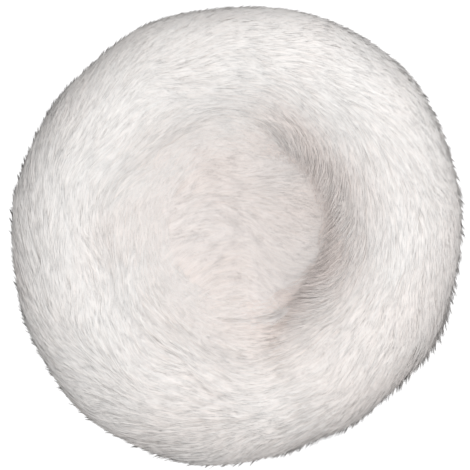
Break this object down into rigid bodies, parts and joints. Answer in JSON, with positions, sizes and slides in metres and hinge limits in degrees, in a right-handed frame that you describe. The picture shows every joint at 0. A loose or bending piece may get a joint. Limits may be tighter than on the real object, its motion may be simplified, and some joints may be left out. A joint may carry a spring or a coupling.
{
  "type": "cat bed",
  "caption": "Round long-plush cat bed: a fat filled ring sewn round a sunken, domed cushion, over a non-slip base cloth.",
  "frame": {"origin": "on the floor, below the middle of the bed's outline", "axes": "+Z up; seen from above +X is to the right and +Y is up, as the picture shows the bed"},
  "size_m": [0.492, 0.5024, 0.17],
  "materials": {
    "ring_plush": "matte",
    "cushion_plush": "matte",
    "wadding": "matte",
    "base_cloth": "matte"
  },
  "bodies": {
    "root": {"ring_cover": "ring_plush", "ring_filling": "wadding", "cushion_cover": "cushion_plush", "cushion_filling": "wadding", "base_panel": "base_cloth"}
  },
  "joints": []
}
